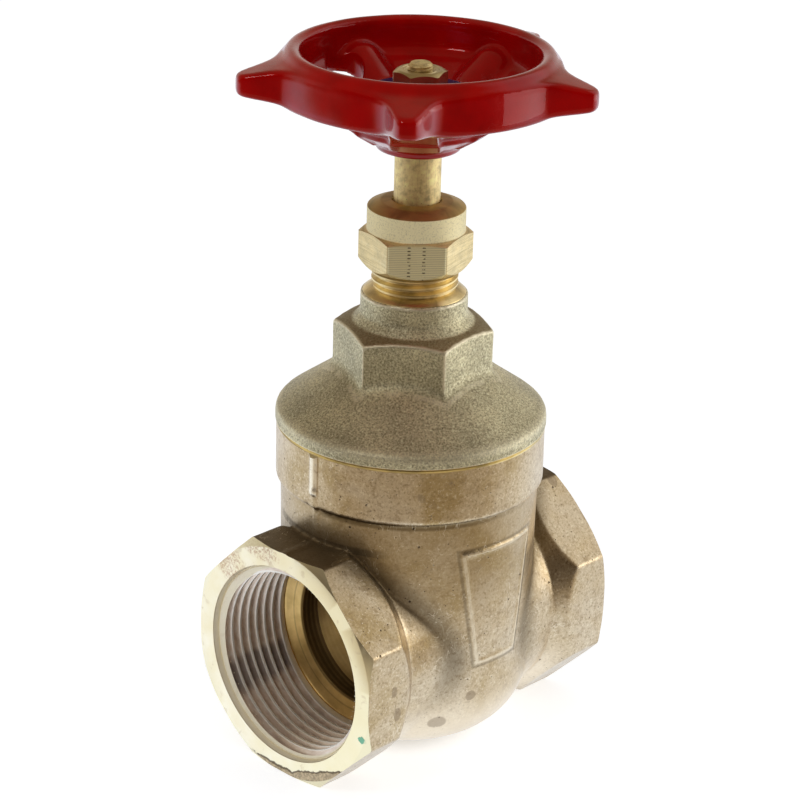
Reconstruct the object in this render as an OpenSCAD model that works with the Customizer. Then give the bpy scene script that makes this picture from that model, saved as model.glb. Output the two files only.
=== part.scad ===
// Brass gate valve with a non-rising stem and a five-lobed handwheel.
// The pipe axis runs along X and the stem axis along +Z; they cross at the origin.
// Lengths are in millimetres. The valve is drawn fully open.

/* [Body] */
// Distance between the two machined port faces
face_to_face = 71.8; // [70:0.2:78]
// Width across the flats of the octagonal port ends
port_af = 50.2; // [49.6:0.2:52]
// Length of each octagonal end, measured on a corner
port_collar = 9; // [8:0.5:10]
// Radius of the upright chamber just under its top ring
chamber_r = 26.9; // [26.4:0.1:27.4]
// Radius of the top ring that receives the bonnet
ring_r = 27.9; // [27.8:0.1:29]
// Height of the joint between body and bonnet
joint_z = 45; // [45:0.5:48]

/* [Waterway] */
// Major radius of the pipe thread in each port
thread_r = 20.955; // [20.9:0.005:21]
// Depth of each threaded port
thread_depth = 19; // [18:0.5:20]
// Radius of the waterway through the seats
seat_r = 15.6; // [14.5:0.1:16]
// Slope of each seat face from the vertical, in degrees
seat_angle = 5; // [4:0.5:6]

/* [Stem and wedge] */
// Radius of the wedge disc
wedge_r = 18; // [17.6:0.1:18.4]
// How far the wedge lifts from closed to open
lift = 33; // [32:0.5:33]
// Radius of the polished upper stem
stem_r = 4.72; // [4.5:0.02:4.8]
// Radius of the threaded lower stem
stem_thread_r = 5; // [4.9:0.05:5.2]

/* [Bonnet and gland] */
// Radius of the bonnet skirt
skirt_r = 28.1; // [27.9:0.1:28.6]
// Width across the flats of the bonnet hexagon
bonnet_af = 28.6; // [28:0.2:29]
// Width across the flats of the gland nut
gland_af = 20.4; // [20:0.1:21]

/* [Handwheel] */
// Radius to the tip of each lobe
wheel_tip_r = 37.3; // [35:0.1:38]
// Radius of the rim midway between two lobes
wheel_waist_r = 27.9; // [27.5:0.1:29]
// Number of lobes, each with a spoke behind it
lobes = 5; // [4:1:6]

/* [Hidden] */
$fn = 96;
eps = 0.01;
half_face = face_to_face / 2;

// Body levels and radii
base_z = -22.6;
ring_z = 32.9;
barrel_r = 24;
neck_r = 22.8;
ring_bore_r = 24.05;
ring_bore_z = 36.5;
well_r = 22.6;
well_z = 26;
cavity_half_x = 9.6;
cavity_half_y = 20.8;
seat_face_x = 6.5;
seat_ring_r = 18.4;
rib_half_x = 2.2;
rib_y = 17.6;
rib_gap = 0.4;

// Stem levels: thrust collar, packing, hub and threaded end
stem_foot_z = 18.5;
shoulder_z = 66;
collar_top_z = 68.6;
collar_r = 6.65;
box_r = 6.75;
hub_z = 103.3;
hub_top_z = 114.4;
rim_base_z = 114.3;
wheel_angle = 4.3;
square_af = 7.2;
stud_r = 2.5;
stud_top_z = 121.1;
disc_r = 10.5;
disc_thick = 0.8;
nut_af = 9.7;
nut_high = 4.4;

// Bonnet and gland levels
hex_foot_z = 53;
hex_top_z = 67.3;
neck_r_mid = 10.85;
neck_shoulder_z = 73.1;
neck_thread_r = 8.88;
neck_top_z = 83.6;
gland_z = 78;
gland_roof_z = 86.4;
gland_collar_r = 10.04;
gland_collar_z = 91.33;
gland_top_z = 92.75;

function arc_points(c, r, a0, a1, n) =
    [for (i = [0:n]) let (a = a0 + (a1 - a0) * i / n) c + r * [cos(a), sin(a)]];
function smooth(t) = let (u = min(1, max(0, t))) u * u * (3 - 2 * u);
function mix(a, b, t) = a + (b - a) * t;
function corner_r(af, n) = af / 2 / cos(180 / n);

// A profile of [distance from the pipe axis, distance along it], turned about X
module turned_x(profile) {
    rotate([0, 90, 0]) rotate_extrude() polygon(profile);
}

// A regular prism standing on Z, with one corner at the given angle
module prism(af, n, z0, z1, corner_angle) {
    translate([0, 0, z0])
        rotate([0, 0, corner_angle])
            cylinder(r = corner_r(af, n), h = z1 - z0, $fn = n);
}

// ---------- body ----------

// Octagonal pipe end, its corners turned off in front and drafted behind
module port_end() {
    corner = corner_r(port_af, 8);
    face_r = port_af / 2 + 0.2;
    front = half_face - 1.1;
    back = half_face - port_collar;
    intersection() {
        rotate([0, 90, 0])
            rotate([0, 0, 22.5])
                cylinder(r = corner, h = half_face, $fn = 8);
        turned_x([[0, 10], [neck_r - 1, 20], [corner + 0.1, back], [corner + 0.1, front],
                  [face_r, half_face], [0, half_face]]);
    }
}

// Barrel between the port ends, flaring from each neck to the chamber
module barrel() {
    flare = [for (i = [0:8]) [mix(neck_r, barrel_r, smooth(i / 8)), mix(27, 12, i / 8)]];
    mirrored = [for (i = [8:-1:0]) [flare[i][0], -flare[i][1]]];
    turned_x(concat([[0, 27]], flare, mirrored, [[0, -27]]));
}

// Upright chamber with a drafted wall and a well-rounded foot
module chamber() {
    foot_r = 14;
    wall_r = chamber_r - 0.5;
    foot = arc_points([wall_r - foot_r, base_z + foot_r], foot_r, -90, 0, 10);
    rotate_extrude()
        polygon(concat([[0, base_z]], foot, [[chamber_r, ring_z + 1], [0, ring_z + 1]]));
}

module top_ring() {
    rotate_extrude()
        polygon([[0, ring_z], [ring_r - 0.8, ring_z], [ring_r, ring_z + 0.8],
                 [ring_r, joint_z - 0.4], [ring_r - 0.4, joint_z], [0, joint_z]]);
}

module port_cut() {
    floor_x = half_face - thread_depth;
    turned_x([[0, floor_x - 1.7], [seat_r + 0.2, floor_x - 1.7], [thread_r - 0.8, floor_x - 0.1],
              [thread_r, floor_x - 0.1], [thread_r, half_face - 0.6],
              [thread_r + 0.7, half_face + eps], [0, half_face + eps]]);
}

// Space the wedge moves in, before the seats and ribs are put back
module cavity() {
    rotate([0, 90, 0]) cylinder(r = cavity_half_y, h = 2 * cavity_half_x, center = true);
    translate([-cavity_half_x, -cavity_half_y, 0])
        cube([2 * cavity_half_x, 2 * cavity_half_y, well_z + 1]);
    translate([0, 0, well_z]) cylinder(r = well_r, h = joint_z);
    translate([0, 0, ring_bore_z]) cylinder(r = ring_bore_r, h = joint_z);
}

// Raised seat whose face leans with the wedge
module seat_ring() {
    intersection() {
        rotate([0, 90, 0]) cylinder(r = seat_ring_r, h = 14);
        translate([seat_face_x, 0, 0])
            rotate([0, seat_angle, 0])
                translate([0, -25, -25])
                    cube([20, 50, 50]);
    }
}

module guide_rib() {
    translate([-rib_half_x, rib_y, -11]) cube([2 * rib_half_x, 8, well_z + 11 - eps]);
}

module body() {
    color("tan") difference() {
        union() {
            port_end();
            mirror([1, 0, 0]) port_end();
            barrel();
            chamber();
            top_ring();
        }
        difference() {
            cavity();
            seat_ring();
            mirror([1, 0, 0]) seat_ring();
            guide_rib();
            mirror([0, 1, 0]) guide_rib();
        }
        rotate([0, 90, 0]) cylinder(r = seat_r, h = 40, center = true);
        port_cut();
        mirror([1, 0, 0]) port_cut();
    }
}

// ---------- wedge ----------

// Ear that runs beside a guide rib, rounded to follow the pocket under the closed wedge
module wedge_ear() {
    ear_half_x = 5.2;
    ear_half_z = 9;
    slot_half_x = rib_half_x + rib_gap;
    intersection() {
        difference() {
            translate([-ear_half_x, 12, -ear_half_z])
                cube([2 * ear_half_x, cavity_half_y - 12.6, 2 * ear_half_z]);
            translate([-slot_half_x, rib_y - rib_gap, -ear_half_z - 1])
                cube([2 * slot_half_x, 5, 2 * ear_half_z + 2]);
        }
        rotate([0, 90, 0]) cylinder(r = cavity_half_y - 0.4, h = 40, center = true);
    }
}

module wedge() {
    gap = 0.1;
    half = seat_face_x - gap;
    rise = wedge_r + 1;
    spread = rise * tan(seat_angle);
    boss_r = 7.2;
    boss_top = 25.5;
    nut_floor = -15.2;
    slot_half_x = rib_half_x + rib_gap;
    color("goldenrod") translate([0, 0, lift]) difference() {
        union() {
            intersection() {
                rotate([0, 90, 0]) cylinder(r = wedge_r, h = 40, center = true);
                rotate([90, 0, 0])
                    linear_extrude(height = 60, center = true)
                        polygon([[-half + spread, -rise], [half - spread, -rise],
                                 [half + spread, rise], [-half - spread, rise]]);
            }
            wedge_ear();
            mirror([0, 1, 0]) wedge_ear();
            cylinder(r = boss_r, h = boss_top);
        }
        translate([0, 0, nut_floor]) cylinder(r = stem_thread_r + 0.05, h = 50);
        for (side = [-1, 1])
            translate([-slot_half_x, side * (rib_y + 1.4) - 1.8, -wedge_r])
                cube([2 * slot_half_x, 3.6, 2 * wedge_r]);
    }
}

// ---------- stem ----------

module stem() {
    color("khaki") {
        rotate_extrude()
            polygon([[0, stem_foot_z], [stem_thread_r - 1, stem_foot_z],
                     [stem_thread_r, stem_foot_z + 1], [stem_thread_r, shoulder_z + 0.05],
                     [collar_r, shoulder_z + 0.05], [collar_r, collar_top_z],
                     [stem_r, collar_top_z], [stem_r, hub_z], [0, hub_z]]);
        intersection() {
            translate([0, 0, hub_z - eps]) cylinder(r = stem_r, h = hub_top_z - hub_z + eps);
            translate([-square_af / 2, -square_af / 2, hub_z - 1])
                cube([square_af, square_af, 20]);
        }
        rotate_extrude()
            polygon(concat([[0, hub_top_z - eps], [stud_r, hub_top_z - eps]],
                           arc_points([stud_r - 0.6, stud_top_z - 0.6], 0.6, 0, 90, 5),
                           [[0, stud_top_z]]));
    }
}

// ---------- bonnet ----------

// Domed cap, spanner hexagon and the neck that carries the gland thread
module bonnet_outside() {
    rotate_extrude()
        polygon([[0, joint_z], [skirt_r - 0.3, joint_z], [skirt_r, joint_z + 0.3],
                 [skirt_r, joint_z + 1.4], [skirt_r - 0.3, joint_z + 2.6],
                 [skirt_r - 1.2, joint_z + 3.6], [16.5, 55.9], [14, 57.8], [0, 60]]);
    intersection() {
        prism(bonnet_af, 6, hex_foot_z, hex_top_z, 6.85);
        rotate_extrude()
            polygon([[0, 50], [20, 50], [20, 65], [bonnet_af / 2, hex_top_z - 0.85],
                     [12.4, hex_top_z], [0, hex_top_z]]);
    }
    rotate_extrude()
        polygon([[0, 60], [12.4, 60], [12.4, hex_top_z], [11.3, 68.5], [neck_r_mid, 70],
                 [neck_r_mid, neck_shoulder_z], [neck_thread_r, neck_shoulder_z + 1.1],
                 [neck_thread_r, neck_top_z - 0.6], [neck_thread_r - 0.6, neck_top_z],
                 [0, neck_top_z]]);
}

module bonnet() {
    color("darkkhaki") difference() {
        union() {
            bonnet_outside();
            translate([0, 0, ring_bore_z + 0.5])
                cylinder(r = ring_bore_r - 0.05, h = joint_z - ring_bore_z);
        }
        rotate_extrude()
            polygon([[0, 30], [21.6, 30], [21.6, 46.8], [20.2, 49.6], [13.4, 54.8], [9.2, 56.6],
                     [9.2, 59.5], [5.1, 61.8], [0, 61.8]]);
        cylinder(r = stem_thread_r + 0.1, h = 90);
        translate([0, 0, shoulder_z]) cylinder(r = box_r, h = 30);
    }
}

// ---------- gland ----------

module packing_rings() {
    ring_h = 2.6;
    color("dimgray")
        for (i = [0:2])
            translate([0, 0, collar_top_z + 0.3 + i * (ring_h + 0.1)])
                rotate_extrude()
                    polygon([[stem_r + 0.06, 0], [box_r - 0.02, 0], [box_r - 0.02, ring_h],
                             [stem_r + 0.06, ring_h]]);
}

module gland_follower() {
    foot_z = collar_top_z + 0.3 + 3 * 2.7;
    color("goldenrod") rotate_extrude()
        polygon([[stem_r + 0.08, foot_z], [box_r - 0.05, foot_z], [box_r - 0.05, neck_top_z + 0.4],
                 [box_r + 0.9, neck_top_z + 0.4], [box_r + 0.9, gland_roof_z],
                 [stem_r + 0.08, gland_roof_z]]);
}

// Hexagon turned off above and below, with a collar whose top rises towards the stem
module gland_nut() {
    corner = corner_r(gland_af, 6) + 0.1;
    wrench_r = gland_af / 2;
    color("khaki") difference() {
        union() {
            intersection() {
                prism(gland_af, 6, gland_z, gland_roof_z + 0.1, 15.75);
                rotate_extrude()
                    polygon([[0, gland_z], [wrench_r - 1, gland_z], [wrench_r, gland_z + 0.9],
                             [corner, gland_z + 2.4], [corner, gland_roof_z - 0.7],
                             [wrench_r, gland_roof_z], [0, gland_roof_z]]);
            }
            rotate_extrude()
                polygon([[0, gland_roof_z - 1], [gland_collar_r, gland_roof_z - 1],
                         [gland_collar_r, gland_collar_z - 0.3],
                         [gland_collar_r - 0.3, gland_collar_z], [7.3, gland_top_z - 0.35],
                         [5.2, gland_top_z], [0, gland_top_z]]);
        }
        translate([0, 0, gland_z - 1])
            cylinder(r = neck_thread_r + 0.06, h = gland_roof_z - gland_z + 1);
        cylinder(r = stem_r + 0.3, h = 100);
    }
}

// ---------- handwheel ----------

// How strongly a lobe pulls the rim outwards at an angle: 1 on a lobe, 0 between two
function lobe_pull(a) =
    let (pitch = 360 / lobes, from_tip = abs(a - pitch * round(a / pitch)) / (pitch / 2))
    1 / (1 + pow(from_tip / 0.2, 2.6));

// Cross-section of the rim at one angle, as [radius, height] going round the section
function rim_section(w) = [
    [23.6, rim_base_z],
    [23.9, 117],
    [24.1, 122.4],
    [24.5, 123.4],
    [25.3, 123.95],
    [26.1, 123.7],
    [26.6, 122.6],
    [mix(wheel_waist_r - 1, 31.8, w), mix(120.4, 121.6, w)],
    [mix(wheel_waist_r - 0.5, wheel_tip_r - 0.9, w), mix(117.2, 120.2, w)],
    [mix(wheel_waist_r, wheel_tip_r, w), mix(115.4, 118.1, w)],
    [mix(wheel_waist_r - 0.4, wheel_tip_r - 0.9, w), mix(rim_base_z, 115.9, w)]
];

// Rim and lobes as one loft of sections carried round the wheel
module rim() {
    steps = lobes * 18;
    sections = [for (i = [0:steps - 1]) rim_section(lobe_pull(360 * i / steps))];
    m = len(sections[0]);
    points = [for (i = [0:steps - 1]) for (p = sections[i])
        let (a = 360 * i / steps) [p[0] * cos(a), p[0] * sin(a), p[1]]];
    faces = [for (i = [0:steps - 1]) for (j = [0:m - 1])
        let (i2 = (i + 1) % steps, j2 = (j + 1) % m)
        each [[i * m + j, i2 * m + j2, i * m + j2], [i * m + j, i2 * m + j, i2 * m + j2]]];
    polyhedron(points = points, faces = faces, convexity = 6);
}

// Round-backed, flat-bellied spoke that climbs from the hub to the rim wall
module spoke() {
    width = 7.4;
    belly = 1.6;
    translate([9.5, 0, 107.15])
        rotate([0, 57, 0])
            linear_extrude(height = 18.5)
                intersection() {
                    union() {
                        translate([0.4, 0]) circle(d = width);
                        translate([0.4, -width / 2]) square([belly, width]);
                    }
                    translate([-width, -width]) square([width + belly, 2 * width]);
                }
}

// Hub boss, the ledge under the disc and the conical web that closes the wheel
module hub() {
    rotate_extrude()
        polygon([[0, hub_z], [7.8, hub_z], [8.8, hub_z + 0.9], [8.8, hub_z + 1.4],
                 [14.3, 108], [14.3, 109], [25.3, 116], [25.3, 117.5], [23.9, 116.9],
                 [14.2, 112], [13.2, 113.6], [12.4, hub_top_z], [0, hub_top_z]]);
}

module handwheel() {
    hang_hole_r = 2.7;
    color("firebrick") difference() {
        rotate([0, 0, wheel_angle]) union() {
            rim();
            hub();
            for (i = [0:lobes - 1]) rotate([0, 0, i * 360 / lobes]) spoke();
        }
        rotate([0, 0, wheel_angle + 89.2])
            translate([21.1, 0, 100]) cylinder(r = hang_hole_r, h = 30);
        intersection() {
            cylinder(r = stem_r, h = 130);
            translate([-square_af / 2, -square_af / 2, 90]) cube([square_af, square_af, 40]);
        }
    }
}

// ---------- wheel fastening ----------

module identification_disc() {
    color("midnightblue") translate([0, 0, hub_top_z]) difference() {
        cylinder(r = disc_r, h = disc_thick);
        translate([0, 0, -1]) cylinder(r = stud_r + 0.2, h = 3);
    }
}

module wheel_nut() {
    z0 = hub_top_z + disc_thick;
    z1 = z0 + nut_high;
    corner = corner_r(nut_af, 6) + 0.1;
    color("olive") difference() {
        intersection() {
            prism(nut_af, 6, z0, z1, 23.4);
            rotate_extrude()
                polygon([[0, z0], [corner, z0], [corner, z1 - 0.8],
                         [nut_af / 2 - 0.35, z1], [0, z1]]);
        }
        cylinder(r = stud_r + 0.02, h = 140);
    }
}

body();
wedge();
stem();
bonnet();
packing_rings();
gland_follower();
gland_nut();
handwheel();
identification_disc();
wheel_nut();
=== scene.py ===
"""Brass gate valve with a red handwheel: finished pieces and studio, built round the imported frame."""

import itertools
import math

import bmesh
import bpy
import numpy as np
from mathutils import Matrix, Vector


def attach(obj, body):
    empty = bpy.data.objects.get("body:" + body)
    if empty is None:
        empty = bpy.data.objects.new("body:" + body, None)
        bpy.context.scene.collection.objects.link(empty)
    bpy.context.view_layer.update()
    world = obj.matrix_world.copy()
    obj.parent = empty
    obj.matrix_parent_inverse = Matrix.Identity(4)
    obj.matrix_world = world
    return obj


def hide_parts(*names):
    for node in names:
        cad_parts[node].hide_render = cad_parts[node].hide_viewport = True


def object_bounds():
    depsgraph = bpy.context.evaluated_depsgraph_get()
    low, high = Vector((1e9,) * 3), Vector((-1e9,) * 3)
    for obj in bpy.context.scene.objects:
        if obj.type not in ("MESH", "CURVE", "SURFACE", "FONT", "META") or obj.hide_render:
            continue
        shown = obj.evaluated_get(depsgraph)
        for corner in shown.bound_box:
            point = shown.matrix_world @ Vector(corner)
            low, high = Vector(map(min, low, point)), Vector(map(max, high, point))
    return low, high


bl_info = {
    "name": "Brass gate valve",
    "version": (1, 0, 0),
    "blender": (4, 5, 0),
    "location": "3D View > Sidebar > Valve",
    "description": "Builds the finished pieces and the studio of a brass gate valve",
    "category": "Object",
}

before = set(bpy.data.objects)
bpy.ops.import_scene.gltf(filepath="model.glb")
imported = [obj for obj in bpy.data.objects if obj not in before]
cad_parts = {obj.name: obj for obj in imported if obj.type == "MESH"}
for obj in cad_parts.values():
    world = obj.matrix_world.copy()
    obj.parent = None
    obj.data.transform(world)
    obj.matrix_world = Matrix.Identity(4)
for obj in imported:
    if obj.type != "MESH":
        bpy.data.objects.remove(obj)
cad_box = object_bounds()
MM = 0.001
DEGREES = 57.2958       # in one radian
GOLD = (0.86, 0.68, 0.34)

# How tool marks stretch a noise: along level rings, or not at all.
LEVEL_LINES = (0.15, 0.15, 7.0)
NO_LINES = (1, 1, 1)

# Places and sizes that several functions share, in millimetres from the crossing of the two axes.
PORT_FACE = 35.9
SHOULDER = 16.9
JOINT = 45.0
PANEL_FOOT, PANEL_TOP = -0.9, 25.6
PANEL_HALF, PANEL_SPREAD = 5.85, 0.164
BONNET_HALF = 14.45
BONNET_TURN = 36.85     # degrees, from +X to the first pair of flats on the bonnet's hexagon


# ---------- settings ----------

def size(name, text, millimetres):
    return bpy.props.FloatProperty(name=name, description=text, default=millimetres * MM,
                                   min=0, unit="LENGTH", precision=5)


def turn(name, text, degrees):
    return bpy.props.FloatProperty(name=name, description=text, default=math.radians(degrees),
                                   subtype="ANGLE")


def plain_number(name, text, amount, least=0.0, most=2.0):
    return bpy.props.FloatProperty(name=name, description=text, default=amount, min=least, max=most)


def tint(name, text, rgb):
    return bpy.props.FloatVectorProperty(name=name, description=text, default=rgb, size=3,
                                         subtype="COLOR", min=0, max=1)


class BodySettings(bpy.types.PropertyGroup):
    chamber: size("Chamber radius", "Radius of the upright chamber under its ring", 26.9)
    ring: size("Ring radius", "Radius of the ring that receives the bonnet", 27.9)
    flats: size("Across flats", "Width across the flats of the octagonal ends", 50.2)
    crease: size("Crease blend", "How softly the barrel runs into the chamber", 0.9)
    panel_ridge: size("Panel ridge", "Height of the ridge round the bare panel", 0.24)
    grain: size("Grain", "Edge of one cell in the forged surface", 0.45)
    brass: tint("Forged brass", "Colour of the forged skin", (0.60, 0.475, 0.30))


class BonnetSettings(bpy.types.PropertyGroup):
    skirt: size("Skirt radius", "Radius of the bonnet's skirt", 28.1)
    flats: size("Across flats", "Width across the flats of the bonnet's hexagon", 28.9)
    fillet: size("Foot blend", "How softly the hexagon runs into the dome", 2.0)
    grain: size("Grain", "Edge of one cell in the blasted surface", 0.38)
    brass: tint("Blasted brass", "Colour of the sand-blasted skin", (0.62, 0.56, 0.365))


class GlandSettings(bpy.types.PropertyGroup):
    flats: size("Across flats", "Width across the flats of the gland nut", 20.4)
    collar: size("Collar radius", "Radius of the collar above the hexagon", 10.04)
    brass: tint("Bright brass", "Colour of the turned brass", (0.80, 0.66, 0.36))


class StemSettings(bpy.types.PropertyGroup):
    shaft: size("Shaft radius", "Radius of the polished shaft", 4.72)
    pitch: size("Thread pitch", "Rise of the stem thread in one turn", 3.0)
    brass: tint("Stem brass", "Colour of the drawn brass bar", (0.86, 0.70, 0.36))


class WheelSettings(bpy.types.PropertyGroup):
    reach: size("Lobe reach", "Distance of each lobe's tip from the stem", 36.99)
    sharpness: plain_number("Lobe sharpness", "Share of the way to the next lobe where the pull halves",
                            0.172, 0.1, 0.5)
    start: turn("Start angle", "Angle of the first lobe from +X", 4.3)
    grain: size("Grain", "Edge of one cell in the cast surface", 0.34)
    paint: tint("Red paint", "Colour of the gloss paint", (0.36, 0.0006, 0.0006))


class FasteningSettings(bpy.types.PropertyGroup):
    disc: size("Disc radius", "Radius of the blue disc", 10.5)
    flats: size("Across flats", "Width across the flats of the wheel nut", 9.7)
    blue: tint("Disc blue", "Colour of the blue disc", (0.012, 0.016, 0.15))


class StageSettings(bpy.types.PropertyGroup):
    azimuth: turn("Azimuth", "Turn of the camera round the stem axis, from -Y", -46.53)
    elevation: turn("Elevation", "Height of the camera above the level plane", 22.53)
    roll: turn("Roll", "Roll of the camera about its own axis", 1.77)
    distance: size("Distance", "Camera distance from its aim point", 570.82)
    focal: plain_number("Focal length", "Focal length on a sensor 36 mm wide", 124.11, 1, 500)
    fill: plain_number("Fill", "Strength of the even light from all sides", 0.50)
    dim: plain_number("Overhead", "How bright the studio overhead and in front looks in a mirror", 0.22)
    horizon: plain_number("Horizon", "How bright the horizon behind the valve looks in a mirror", 0.75)
    front: plain_number("Front band", "How bright the low band in front looks in a mirror", 0.04)
    panel: plain_number("Side panel", "How bright the high panel on the right looks in a mirror", 0.92)
    floor_white: plain_number("Floor white", "Glow that keeps the floor white round the shadow", 6.4, 0, 20)
    floor_mirror: plain_number("Floor in a mirror", "How bright the floor behind looks in a mirror", 1.15)
    floor_front: plain_number("Front floor in a mirror", "How bright the floor in front looks in a mirror",
                              0.52)


def in_mm(settings, *fields):
    """The named settings as inputs of a shape, with lengths in millimetres."""
    found = [settings.bl_rna.properties[field] for field in fields]
    return {item.name: getattr(settings, item.identifier) / (MM if item.unit == "LENGTH" else 1)
            for item in found}


# ---------- arithmetic inside node trees ----------

def feed(tree, item, socket):
    """Link a Value to a socket, or write a plain number, colour or vector into it."""
    if isinstance(item, Value):
        tree.links.new(item.socket, socket)
    else:
        socket.default_value = item


def arithmetic(operation):
    """A method that runs one Math operation on a Value and the numbers it is given."""
    def method(self, *others):
        return self.op(operation, *others)
    return method


class Value:
    """A number, colour or place inside a node tree, with ordinary arithmetic."""

    def __init__(self, tree, socket):
        self.tree = tree
        self.socket = socket

    def op(self, operation, *others):
        node = self.tree.nodes.new("ShaderNodeMath")
        node.operation = operation
        for socket, item in zip(node.inputs, (self,) + others):
            feed(self.tree, item, socket)
        return Value(self.tree, node.outputs[0])

    __add__ = __radd__ = arithmetic("ADD")
    __sub__ = arithmetic("SUBTRACT")
    __mul__ = __rmul__ = arithmetic("MULTIPLY")
    __truediv__ = arithmetic("DIVIDE")
    __abs__ = arithmetic("ABSOLUTE")
    low = arithmetic("MINIMUM")
    high = arithmetic("MAXIMUM")
    melt = arithmetic("SMOOTH_MIN")     # joins two distances with a fillet
    pare = arithmetic("SMOOTH_MAX")     # keeps what two distances share, with a rounded edge

    def __rsub__(self, other):
        return self.op("MULTIPLY_ADD", -1.0, other)

    def __neg__(self):
        return self.op("MULTIPLY", -1.0)

    def ease(self, start, end, low=0.0, high=1.0):
        """Run smoothly from low to high while the value goes from start to end."""
        node = self.tree.nodes.new("ShaderNodeMapRange")
        node.interpolation_type = "SMOOTHSTEP"
        for socket, item in zip(node.inputs, (self, start, end, low, high)):
            feed(self.tree, item, socket)
        return Value(self.tree, node.outputs[0])

    def split(self):
        node = self.tree.nodes.new("ShaderNodeSeparateXYZ")
        feed(self.tree, self, node.inputs[0])
        return [Value(self.tree, socket) for socket in node.outputs]


def open_tree(owner):
    """The node tree of a new material or world."""
    owner.use_nodes = True
    return owner.node_tree


def add_node(tree, kind, **inputs):
    """Add a node and fill its named inputs with numbers or Values."""
    node = tree.nodes.new(kind)
    for label, item in inputs.items():
        feed(tree, item, node.inputs[label.replace("_", " ")])
    return node


def output(tree, kind, name=0, **inputs):
    """Add a node and take one output of it as a Value."""
    return Value(tree, add_node(tree, kind, **inputs).outputs[name])


def combine(tree, *parts):
    """One vector or colour from three Values."""
    return output(tree, "ShaderNodeCombineXYZ", **dict(zip("XYZ", parts)))


def hypot(a, b):
    return (a * a + b * b).op("SQRT")


def bearing(x, y):
    """Angle round the axis in degrees."""
    return y.op("ARCTAN2", x) * DEGREES


def vector_op(tree, operation, *items):
    node = tree.nodes.new("ShaderNodeVectorMath")
    node.operation = operation
    for socket, item in zip(node.inputs, items):
        feed(tree, item, socket)
    return Value(tree, node.outputs["Value" if operation in ("LENGTH", "DOT_PRODUCT") else "Vector"])


def in_millimetres(place):
    return vector_op(place.tree, "MULTIPLY", place, (1 / MM, 1 / MM, 1 / MM))


def texture(tree, kind, place, grain, name, seed=0, stretch=NO_LINES, **settings):
    """A noise or cell texture whose features are about `grain` millimetres across."""
    at = vector_op(tree, "MULTIPLY_ADD", place, tuple(s / grain for s in stretch),
                   (seed * 17.3, seed * 5.1, seed * 9.7))
    return output(tree, kind, name, Vector=at, Scale=1.0, **settings)


def noise(tree, place, grain, seed=0, stretch=NO_LINES, detail=3.0, roughness=0.55, distortion=0.0):
    return texture(tree, "ShaderNodeTexNoise", place, grain, "Fac", seed, stretch,
                   Detail=detail, Roughness=roughness, Distortion=distortion)


# ---------- meshes ----------

def add_object(name, data):
    """Link a mesh, camera or light as an object at the origin."""
    item = bpy.data.objects.new(name, data)
    bpy.context.scene.collection.objects.link(item)
    return item


def set_finishes(piece, finishes, finish):
    """Give a piece one slot for each finish, and one of them all over."""
    mesh = piece.data
    mesh.materials.clear()
    for item in finishes:
        mesh.materials.append(item)
    mesh.polygons.foreach_set("material_index", [finish] * len(mesh.polygons))


def plain_mesh(name, points, faces, finishes=(), finish=0):
    """Make an object from points in millimetres."""
    mesh = bpy.data.meshes.new(name)
    mesh.from_pydata((np.asarray(points) * MM).tolist(), [], faces)
    piece = add_object(name, mesh)
    set_finishes(piece, finishes, finish)
    return piece


def bake(piece):
    """Turn a piece's modifiers into plain mesh and take them off."""
    bpy.context.view_layer.update()
    seen = piece.evaluated_get(bpy.context.evaluated_depsgraph_get())
    mesh = bpy.data.meshes.new_from_object(seen)
    piece.modifiers.clear()
    piece.data = mesh
    mesh.name = piece.name
    return piece


def turned(name, rows, finishes, finish=0, axis="Z", steps=144, start=0.0, loop=False):
    """Lathe rows of (distance from the axis, distance along it); a row may vary round the axis."""
    angle = np.radians(start) + np.arange(steps) * 2 * math.pi / steps
    points, rings, faces = [], [], []
    for radius, along in rows:
        if np.isscalar(radius) and radius == 0:
            rings.append([len(points)] * steps)
            points.append((0, 0, along))
            continue
        radius = np.broadcast_to(radius, steps)
        along = np.broadcast_to(along, steps)
        rings.append(list(range(len(points), len(points) + steps)))
        points += list(zip(radius * np.cos(angle), radius * np.sin(angle), along))
    pairs = list(zip(rings, rings[1:])) + ([(rings[-1], rings[0])] if loop else [])
    for under, over in pairs:
        for i in range(steps):
            j = (i + 1) % steps
            face = [under[i], under[j], over[j], over[i]]
            face = [v for k, v in enumerate(face) if v != face[k - 1]]
            if len(face) > 2:
                faces.append(face)
    if axis == "X":
        points = [(z, x, y) for x, y, z in points]
    return plain_mesh(name, points, faces, finishes, finish)


def block(name, low, high, finishes, finish):
    """A cutter with square edges."""
    points = list(itertools.product(*zip(low, high)))
    faces = [(0, 1, 3, 2), (4, 6, 7, 5), (0, 4, 5, 1), (2, 3, 7, 6), (0, 2, 6, 4), (1, 5, 7, 3)]
    return plain_mesh(name, points, faces, finishes, finish)


def half_turn(piece):
    """Swing a mesh 180 degrees about the stem axis."""
    piece.data.transform(Matrix.Rotation(math.pi, 4, "Z"))
    return piece


def fit(piece, tool, operation="DIFFERENCE"):
    """Cut a piece with a tool, or join the two, and remove the tool."""
    modifier = piece.modifiers.new("fit", "BOOLEAN")
    modifier.operation = operation
    modifier.solver = "MANIFOLD"
    modifier.object = tool
    before = len(piece.data.polygons)
    bake(piece)
    if len(piece.data.polygons) in (0, before):
        raise RuntimeError(f"{tool.name} did not change {piece.name}")
    bpy.data.objects.remove(tool)
    return piece


def read(items, key, width=3, kind=np.float64):
    """One row of numbers for each vertex or edge."""
    values = np.zeros(len(items) * width, kind)
    items.foreach_get(key, values)
    return values.reshape(-1, width)


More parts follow.
